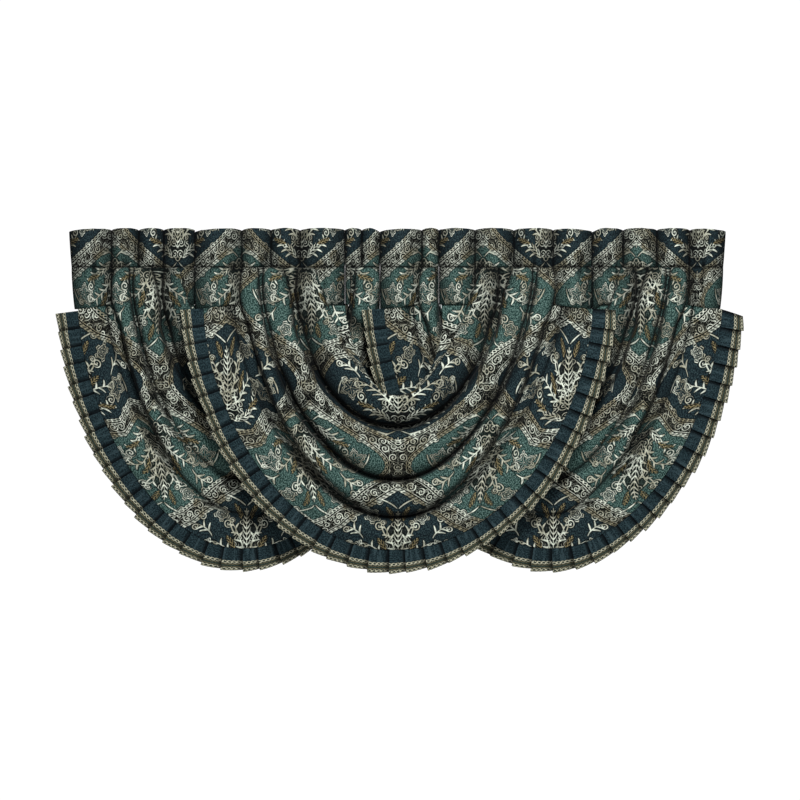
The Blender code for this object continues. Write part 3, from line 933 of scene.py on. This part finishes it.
# The same in tan
TAN_FRONDS = [
    ((30, -20), 66, 46, 9.0, -6, 4),
    ((56, -62), 8, 42, 8.5, 6, 4),
    ((14, 66), 80, 40, 8.0, -6, 4),
]
# Volutes that stand alone: middle, radius, turn, hand
CURLS = [
    ((76, 112), 10.5, 0.2, 1.0),
    ((118, 72), 9.5, 0.6, -1.0),
    ((52, -142), 10.0, 0.1, -1.0),
    ((128, -70), 9.0, 0.4, 1.0),
]
# Lobed leaves that are only outlined: middle, radius, turn
LOBED = [((112, -14), 23.0, 0.4), ((66, 78), 17.0, 0.2)]

REPEAT_X, REPEAT_Y = 0.44, 0.42
REPEAT_DROP = 0.395
NAVY, NAVY_LIT = (0.006, 0.011, 0.015), (0.032, 0.058, 0.064)
TEAL, TEAL_LIT = (0.012, 0.032, 0.029), (0.122, 0.212, 0.188)
BROWN, BROWN_LIT = (0.005, 0.006, 0.005), (0.027, 0.027, 0.021)
CREAM, CREAM_DIM = (0.90, 0.96, 0.82), (0.43, 0.47, 0.39)
TAN, TAN_DIM = (0.37, 0.31, 0.16), (0.14, 0.115, 0.06)
GAP = (0.003, 0.004, 0.004)
# The painted shade of the damask's creases
DAMASK_PAINTED_SHADE = (0.001, 0.0015, 0.002)
# The damask's reverse, the ruffle and the braid: dark and lit ground, then threads and painted shade
BACK, BACK_LIT = (0.05, 0.07, 0.068), (0.12, 0.15, 0.135)
BACK_FLOAT, BACK_STRIPE = (0.20, 0.19, 0.14), (0.03, 0.04, 0.045)
PLAIN, PLAIN_LIT = (0.006, 0.013, 0.016), (0.032, 0.060, 0.068)
PLAIN_RIB, PLAIN_SLUB, PLAIN_PAINTED_SHADE = (0.006, 0.012, 0.018), (0.055, 0.092, 0.105), (0.002, 0.003, 0.004)
BRAID, BRAID_LIT = (0.010, 0.019, 0.016), (0.058, 0.084, 0.070)
LOOP_DIM, LOOP, BRAID_PAINTED_SHADE = (0.22, 0.22, 0.15), (0.68, 0.66, 0.49), (0.004, 0.004, 0.003)

# The threads of the cloths: noise scale, detail and stretch
HEATHER, SLUB = (400, 2.0, (1.0, 0.55)), (170, 2.0, (1.0, 0.16))
BACK_HEATHER, BACK_FLOATS = (420, 3.0, (1.0, 0.28)), (170, 2.0, (1.0, 0.3))
PLAIN_HEATHER, PLAIN_SLUBS = (380, 2.0, (0.6, 1.0)), (130, 2.0, (1.0, 0.15))
STRIPE_PITCH = 0.0045
RIB_PITCH = 0.0038
# Rows of linked rings: their pitch, half height and the half width of the thread
CHAIN, LOOPS = (0.0110, 0.0034, 0.0008), (0.0105, 0.0031, 0.0008)
LOOPS_ASIDE, CORDS_ASIDE = 0.0092, 0.0032
# Fields of small volutes: how many to a metre, pitch and half width of their line, their reach
SCROLLS, PLUME_SCROLLS = (46, 0.0066, 0.00095, 0.0125), (40, 0.0070, 0.00085, 0.014)


def filigree(x, y, per_metre, pitch, half_width, reach):
    """How far inside the lines of a field of small volutes a place is."""
    cell = new_node("TexVoronoi")
    cell.voronoi_dimensions = "2D"
    fed(cell, {"Scale": per_metre, "Randomness": 0.8, "Vector": vector(x, y)})
    middle_x, middle_y, _ = parts(Field(cell.outputs["Position"]))
    r, angle = polar(x, y, middle_x, middle_y)
    tone, other, _ = parts(Field(cell.outputs["Color"]))
    hand = Field.math("SIGN", tone - 0.5)
    beat = Field.math("FRACT", r / pitch + angle * hand / math.tau + tone * 3.0)
    return smaller(half_width - size((beat - 0.5) * pitch), reach * (other * 0.4 + 0.7) - r)


def with_shoots(start, turn, length, half_width, bend, radius, shares):
    """A stroke, and pairs of small leaves along it, shorter towards its tip."""
    specs = [(start, turn, length, half_width, bend, radius)]
    for place in shares:
        for hand, share in ((1, place), (-1, place + PAIR_STEP)):
            spot, ahead = on_stroke(start, turn, length, bend, share)
            angle = math.degrees(math.atan2(ahead[1], ahead[0])) + hand * LEAF_TURN
            leaf = LEAF_LENGTH - LEAF_TAPER * share
            specs.append((tuple(spot), angle, leaf, LEAF_HALF_WIDTH, hand * LEAF_BEND, 0))
    return specs


def ring_chain(along, across, pitch, half_height, half_width):
    """How far inside the thread of a row of linked rings a place is."""
    t = Field.math("WRAP", along + across * 0.45, pitch, 0.0) - pitch / 2
    a, b = t / (pitch * 0.42), across / half_height
    return half_width - size(root(a * a + b * b) - 1.0) * half_height


def frond(x, y, start, turn, length, half_width, bend, ribs):
    """How far inside the ribs of a leaf a place is, and how far inside its outline."""
    a, b, full, beyond = along_stroke(x, y, start, turn, length, half_width, bend)
    other = Field.math("LESS_THAN", b, 0.0) * 0.5
    b = size(b)
    aside = b / (half_width * MM)
    beat = Field.math("FRACT", a * ribs + other - aside * aside * 1.3 - aside * 0.25)
    blade = full * (0.45 + beat * 0.55) - b - beyond
    rib = smaller((0.17 - size(beat - 0.62)) * (length / ribs * 0.62 * MM), blade)
    return larger(rib, 0.0007 - b - beyond), blade


def damask(place, fold):
    """Colour and thread height of the woven cloth at a place in the cloth laid flat, in metres."""
    u, v, _ = parts(place)
    v = v + REPEAT_DROP
    x = Field.math("PINGPONG", u, REPEAT_X / 2)
    beat = v * (math.tau / REPEAT_Y)
    middle = (cosine(beat) + 1.0) * (REPEAT_X / 4)
    slope = sine(beat) * (math.pi * REPEAT_X / 2 / REPEAT_Y)
    away = (x - middle) / root(slope * slope + 1.0)
    outside = step(away, 0.0005)
    y = Field.math("WRAP", v + REPEAT_Y / 2, REPEAT_Y, 0.0) - REPEAT_Y / 2
    y_out = REPEAT_Y / 2 - Field.math("WRAP", v, REPEAT_Y, 0.0)
    mx = x + outside * (REPEAT_X / 2 - x - x)
    my = y + outside * (y_out - y)

    heather = grain(place, *HEATHER)
    slub = grain(place, *SLUB)
    shade = step(heather - 0.53, 0.06)
    thread = step(slub - 0.5, 0.1)
    navy = blend(shade, NAVY, NAVY_LIT)
    teal = blend(shade, TEAL, TEAL_LIT)
    brown = blend(shade, BROWN, BROWN_LIT)

    half_band = 0.024 + cosine(beat * 2.0) * 0.004
    from_edge = half_band - size(away)
    in_band = inside(from_edge)
    along = v * 1.45 - sine(beat * 2.0) * (0.45 * REPEAT_Y / (4 * math.pi))
    chain = ring_chain(along, from_edge, *CHAIN)
    chain = larger(chain, 0.0006 - size(from_edge - 0.0078))
    scroll = smaller(filigree(x, v, *SCROLLS), from_edge - 0.0085)
    squiggle = grain(place, 95, 1.0) - 0.5
    scroll = larger(scroll, smaller(0.0005 - size(squiggle) * 0.055, from_edge - 0.0085))

    strokes = STROKES + [spec for vine in VINES for spec in with_shoots(*vine)]
    marks = hooked(mx, my, *strokes[0])
    for spec in strokes[1:]:
        marks = larger(marks, hooked(mx, my, *spec))
    leafy = None
    for spec in FRONDS:
        ribs, blade = frond(mx, my, *spec)
        marks = larger(ribs, smaller(marks, 0.0 - blade - 0.0015))
        leafy = blade if leafy is None else larger(leafy, blade)
    for spec in CURLS:
        marks = larger(marks, curl(mx, my, *spec, half_width=1.0))
    for centre, radius, turn in LOBED:
        r, angle = polar(mx, my, centre[0] * MM, centre[1] * MM)
        lobes = cosine(angle * 5.0 + turn * 5.0) * 0.26 + cosine(angle * 15.0) * 0.08 + 1.0
        gap = r - lobes * (radius * MM)
        marks = larger(marks, 0.0010 - smaller(size(gap), size(gap + 0.0055)))
        vein = size(sine(angle * 2.5 + turn * 2.5)) * r
        marks = larger(marks, smaller(0.0007 - vein, 0.0 - gap - 0.008))
    tan_leaf, tan_blade = frond(mx, my, *TAN_FRONDS[0])
    for spec in TAN_FRONDS[1:]:
        ribs, blade = frond(mx, my, *spec)
        tan_leaf, tan_blade = larger(tan_leaf, ribs), larger(tan_blade, blade)
    marks = smaller(marks, 0.0 - tan_blade - 0.001)
    r, angle = polar(mx, my, 0.0, -0.070)
    fan = 0.027 + size(cosine(angle * 4.0)) * 0.011
    marks = larger(marks, 0.0008 - size(r - fan))
    plume = 0.040 - root(mx * mx + (my + 0.02) * (my + 0.02) * 0.22)
    small = smaller(filigree(mx, my, *PLUME_SCROLLS), plume)
    marks = larger(marks, smaller(small, 0.0 - larger(leafy, tan_blade) - 0.002))
    marks = smaller(marks, 0.0 - from_edge - 0.004)
    tan_leaf = smaller(tan_leaf, 0.0 - from_edge - 0.004)
    lines = larger(marks, scroll)

    gold = step(grain(place, 14, 1.0) - 0.5, 0.03)
    worn = step(grain(place, 75, 2.0) - 0.45, 0.14)
    cream = blend(worn, CREAM_DIM, CREAM)
    tan = blend(shade, TAN_DIM, TAN)
    colour = blend(outside, navy, teal)
    colour = blend(inside(plume, 0.004) * 0.75, colour, brown)
    colour = blend(in_band, colour, brown)
    near = larger(larger(lines, tan_leaf), larger(chain, larger(leafy, tan_blade) - 0.002))
    colour = blend(inside(near + 0.0024, 0.0012) * 0.85, colour, GAP)
    colour = blend(inside(tan_leaf), colour, tan)
    colour = blend(inside(chain, 0.0004) * 0.9, colour, blend(gold * 0.8, cream, tan))
    colour = blend(inside(lines) * (0.8 + thread * 0.2), colour, blend(gold * 0.5, cream, tan))
    # Painted shade in the creases and where the cloth turns away.
    colour = blend(fold, colour, DAMASK_PAINTED_SHADE)
    height = heather * 0.5 + thread * 0.5
    return colour, height


SURFACE = {
    "Roughness": 0.82, "Specular IOR Level": 0.05, "Sheen Weight": 0.03, "Sheen Roughness": 0.45,
}


def new_cloth(name):
    """A material, its shader, and the place in the cloth laid flat."""
    material = bpy.data.materials.new(name)
    material.use_nodes = True
    Field.tree = material.node_tree
    shader = material.node_tree.nodes["Principled BSDF"]
    fed(shader, SURFACE)
    place = new_node("UVMap")
    place.uv_map = "cloth"
    return material, shader, Field(place.outputs[0])


def painted_shade_field():
    """The shade painted on the cloth, from 0 on the open face up to nearly 1 in its creases."""
    node = new_node("Attribute")
    node.attribute_name = "fold"
    return Field(node.outputs["Fac"])


def finish_cloth(shader, colour, height, strength, distance):
    bump = fed(new_node("Bump"), {"Strength": strength, "Distance": distance, "Height": height})
    fed(shader, {"Normal": bump, "Base Color": colour})


def woven_material():
    material, shader, place = new_cloth("damask_cloth")
    colour, height = damask(place, painted_shade_field())
    finish_cloth(shader, colour, height, 0.5, 0.0012)
    return material


def reverse_material():
    """The back of the damask: the ground threads show as loose stripes with floats; the design, faint on
    this side, is left out.
    """
    material, shader, place = new_cloth("damask_reverse")
    _, v, _ = parts(place)
    heather = grain(place, *BACK_HEATHER)
    floats = grain(place, *BACK_FLOATS)
    stripe = step(sine(v * (math.tau / STRIPE_PITCH)) - 0.1, 0.5)
    colour = blend(step(heather - 0.5, 0.16), BACK, BACK_LIT)
    colour = blend(step(floats - 0.52, 0.08) * 0.4, colour, BACK_FLOAT)
    colour = blend(stripe * 0.25, colour, BACK_STRIPE)
    finish_cloth(shader, colour, heather * 0.6 + stripe * 0.3, 0.5, 0.001)
    return material


def ruffle_material():
    material, shader, place = new_cloth("ruffle_cloth")
    u, _, _ = parts(place)
    heather = grain(place, *PLAIN_HEATHER)
    slub = grain(place, *PLAIN_SLUBS)
    rib = sine(u * (math.tau / RIB_PITCH) + grain(place, 90) * 4.0)
    colour = blend(step(heather - 0.52, 0.09), PLAIN, PLAIN_LIT)
    colour = blend(step(rib - 0.2, 0.6) * 0.4, colour, PLAIN_RIB)
    colour = blend(step(slub - 0.6, 0.06) * 0.4, colour, PLAIN_SLUB)
    # Painted shade in the creases between the pleats.
    colour = blend(painted_shade_field() * 0.97, colour, PLAIN_PAINTED_SHADE)
    finish_cloth(shader, colour, heather * 0.4 + rib * 0.3, 0.5, 0.001)
    return material


def braid_material():
    """Two rows of loops and two cords, on either side of the middle of a dark ground."""
    material, shader, place = new_cloth("braid")
    u, v, _ = parts(place)
    v = v - BRAID_START * MM
    width = (RUFFLE - BRAID_START) * MM
    mid = size(v - width / 2)
    heather = grain(place, 420, 3.0)
    loops = ring_chain(u, mid - LOOPS_ASIDE, *LOOPS)
    cords = 0.0004 - size(mid - CORDS_ASIDE)
    raised = inside(loops, 0.0004)
    colour = blend(step(heather - 0.5, 0.15), BRAID, BRAID_LIT)
    colour = blend(inside(larger(loops, cords) + 0.0016, 0.0008) * 0.55, colour, GAP)
    cord = blend(step(heather - 0.5, 0.1), TAN_DIM, TAN)
    colour = blend(inside(cords, 0.0004) * 0.9, colour, cord)
    colour = blend(raised * 0.95, colour, blend(step(heather - 0.45, 0.12), LOOP_DIM, LOOP))
    # Painted shade in the creases between the pleats.
    colour = blend(painted_shade_field() * 0.8, colour, BRAID_PAINTED_SHADE)
    finish_cloth(shader, colour, heather * 0.3 + raised * 0.7, 0.6, 0.0012)
    return material


def declare(flat):
    """The cloth is a sheet, cut to the size that it has in the flat; this works out the area of each cell
    there and does not use it.
    """
    a, b = flat[1:, 1:] - flat[:-1, :-1], flat[1:, :-1] - flat[:-1, 1:]
    cells = a[:, :, 0] * b[:, :, 1] - b[:, :, 0] * a[:, :, 1]


def seat(piece, node):
    """The piece rides on the root and stands for a node."""
    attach(piece, "root")
    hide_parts(node)


def painted_fold_shade(grid):
    """How much shade is painted on each point: 0 on cloth that faces the front, up to nearly 1 in creases
    and where it turns away.
    """
    facing = normals(grid)
    aside = np.nan_to_num(np.hypot(facing[:, :, 0], np.maximum(facing[:, :, 2], 0)))
    # Painted shade where the cloth turns aside or faces down, away from the lights, and in its valleys and
    # at its pleat edges.
    turned = ramp(aside, 0.36, 0.6) * 0.74
    creases = np.maximum(fold_depth(grid, 3 * COLUMNS, 24) * 0.9, pleat_edge_shade(grid))
    return np.clip(np.maximum(creases, turned) + 0.2 * np.minimum(creases, turned), 0, 1) * 0.96


def dress_swags(damask_cloth, reverse, ruffle_cloth, braid_cloth):
    ruffle_widths = np.array([-5, 0, 6, 12, 20, 28, 36, 44, 52, RUFFLE])
    braid_widths = np.linspace(BRAID_START, RUFFLE + 0.4, 6)
    braid_out = RUFFLE_OUT + (RUFFLE_SHEET + BRAID_SHEET) / 2 + BRAID_GAP
    for seed, swag in enumerate(SWAGS, RUFFLE_SEED):
        grid, flat, design = swag_cloth(swag)
        finish = [damask_cloth, reverse]
        # The swag's cloth carries painted shade in its creases and where it turns away.
        cloth = sheet_mesh(swag.name + "_swag_cloth", grid, design, painted_fold_shade(grid), SHEET, finish)
        seat(cloth, swag.name + "_swag")
        declare(flat)
        grid, laid, folds = pleated_cloth(swag, seed, ruffle_widths, RUFFLE_OUT)
        ruffle = sheet_mesh(swag.name + "_ruffle_cloth", grid, laid, folds, RUFFLE_SHEET, [ruffle_cloth])
        seat(ruffle, swag.name + "_ruffle")
        grid, flat, folds = pleated_cloth(swag, seed, braid_widths, braid_out)
        braid = sheet_mesh(swag.name + "_braid_trim", grid, flat, folds, BRAID_SHEET, [braid_cloth])
        seat(braid, swag.name + "_braid")
        declare(laid)


def dress_bands(damask_cloth, reverse):
    for seed, band in enumerate(BANDS, BAND_SEED):
        rows, flat, folds = band_cloth(band, seed)
        # The painted shade of the bands, deepened.
        folds = 0.97 - 0.97 * (1 - folds) ** 2.0
        cloth = tube_mesh(band.name + "_cloth", rows, flat, folds, SHEET, [damask_cloth, reverse])
        seat(cloth, band.name)


AMBIENT = 0.07
BACKDROP = 1.05
CAMERA_AWAY = 8.0
VIEW_WIDTH = 2.08
VIEW_MIDDLE = -0.4446
FLOOR = [(-3, -3, -1.68), (3, -3, -1.68), (3, 1, -1.68), (-3, 1, -1.68)]
# The lights, which all look at one place: name, place, size, watts
LIT_PLACE = (0, 0, -0.45)
LIGHTS = [
    ("key", (0.35, -3.0, 1.8), 0.9, 125),
    ("front", (0.5, -4.6, -0.2), 1.2, 22),
    ("back", (0.0, 3.2, 0.6), 1.4, 45),
]


def area_light(name, place, size, watts):
    light = bpy.data.lights.new(name, "AREA")
    light.size = size
    light.energy = watts
    lamp = bpy.data.objects.new(name, light)
    bpy.context.scene.collection.objects.link(lamp)
    lamp.location = place
    way = np.array(LIT_PLACE) - np.array(place)
    lamp.rotation_euler = (math.atan2(math.hypot(way[0], way[1]), -way[2]), 0, math.atan2(-way[0], way[1]))


def pale_world():
    """A white backdrop that lights the object only a little."""
    world = bpy.data.worlds.new("studio")
    world.use_nodes = True
    tree = world.node_tree
    tree.nodes["Background"].inputs[0].default_value = (1, 1, 1, 1)
    seen = tree.nodes.new("ShaderNodeLightPath")
    glow = tree.nodes.new("ShaderNodeMapRange")
    glow.inputs["To Min"].default_value = AMBIENT
    glow.inputs["To Max"].default_value = BACKDROP
    tree.links.new(seen.outputs["Is Camera Ray"], glow.inputs["Value"])
    tree.links.new(glow.outputs[0], tree.nodes["Background"].inputs[1])
    return world


def pale_floor():
    mesh = bpy.data.meshes.new("floor")
    mesh.from_pydata(FLOOR, [], [(0, 1, 2, 3)])
    paint = bpy.data.materials.new("pale_floor")
    paint.use_nodes = True
    shader = paint.node_tree.nodes["Principled BSDF"]
    shader.inputs["Base Color"].default_value = (0.93, 0.93, 0.92, 1)
    shader.inputs["Roughness"].default_value = 0.9
    mesh.materials.append(paint)
    floor = bpy.data.objects.new("floor", mesh)
    bpy.context.scene.collection.objects.link(floor)


def studio():
    scene = bpy.context.scene
    scene.view_settings.view_transform = "Standard"
    scene.world = pale_world()
    pale_floor()
    for light in LIGHTS:
        area_light(*light)
    camera = bpy.data.cameras.new("camera")
    camera.lens = CAMERA_AWAY * 36 / VIEW_WIDTH
    camera.clip_end = 60
    eye = bpy.data.objects.new("camera", camera)
    eye.location = (0, -CAMERA_AWAY, VIEW_MIDDLE)
    eye.rotation_euler = (math.pi / 2, 0, 0)
    scene.collection.objects.link(eye)
    scene.camera = eye


damask_cloth = woven_material()
reverse = reverse_material()
dress_swags(damask_cloth, reverse, ruffle_material(), braid_material())
dress_bands(damask_cloth, reverse)
studio()
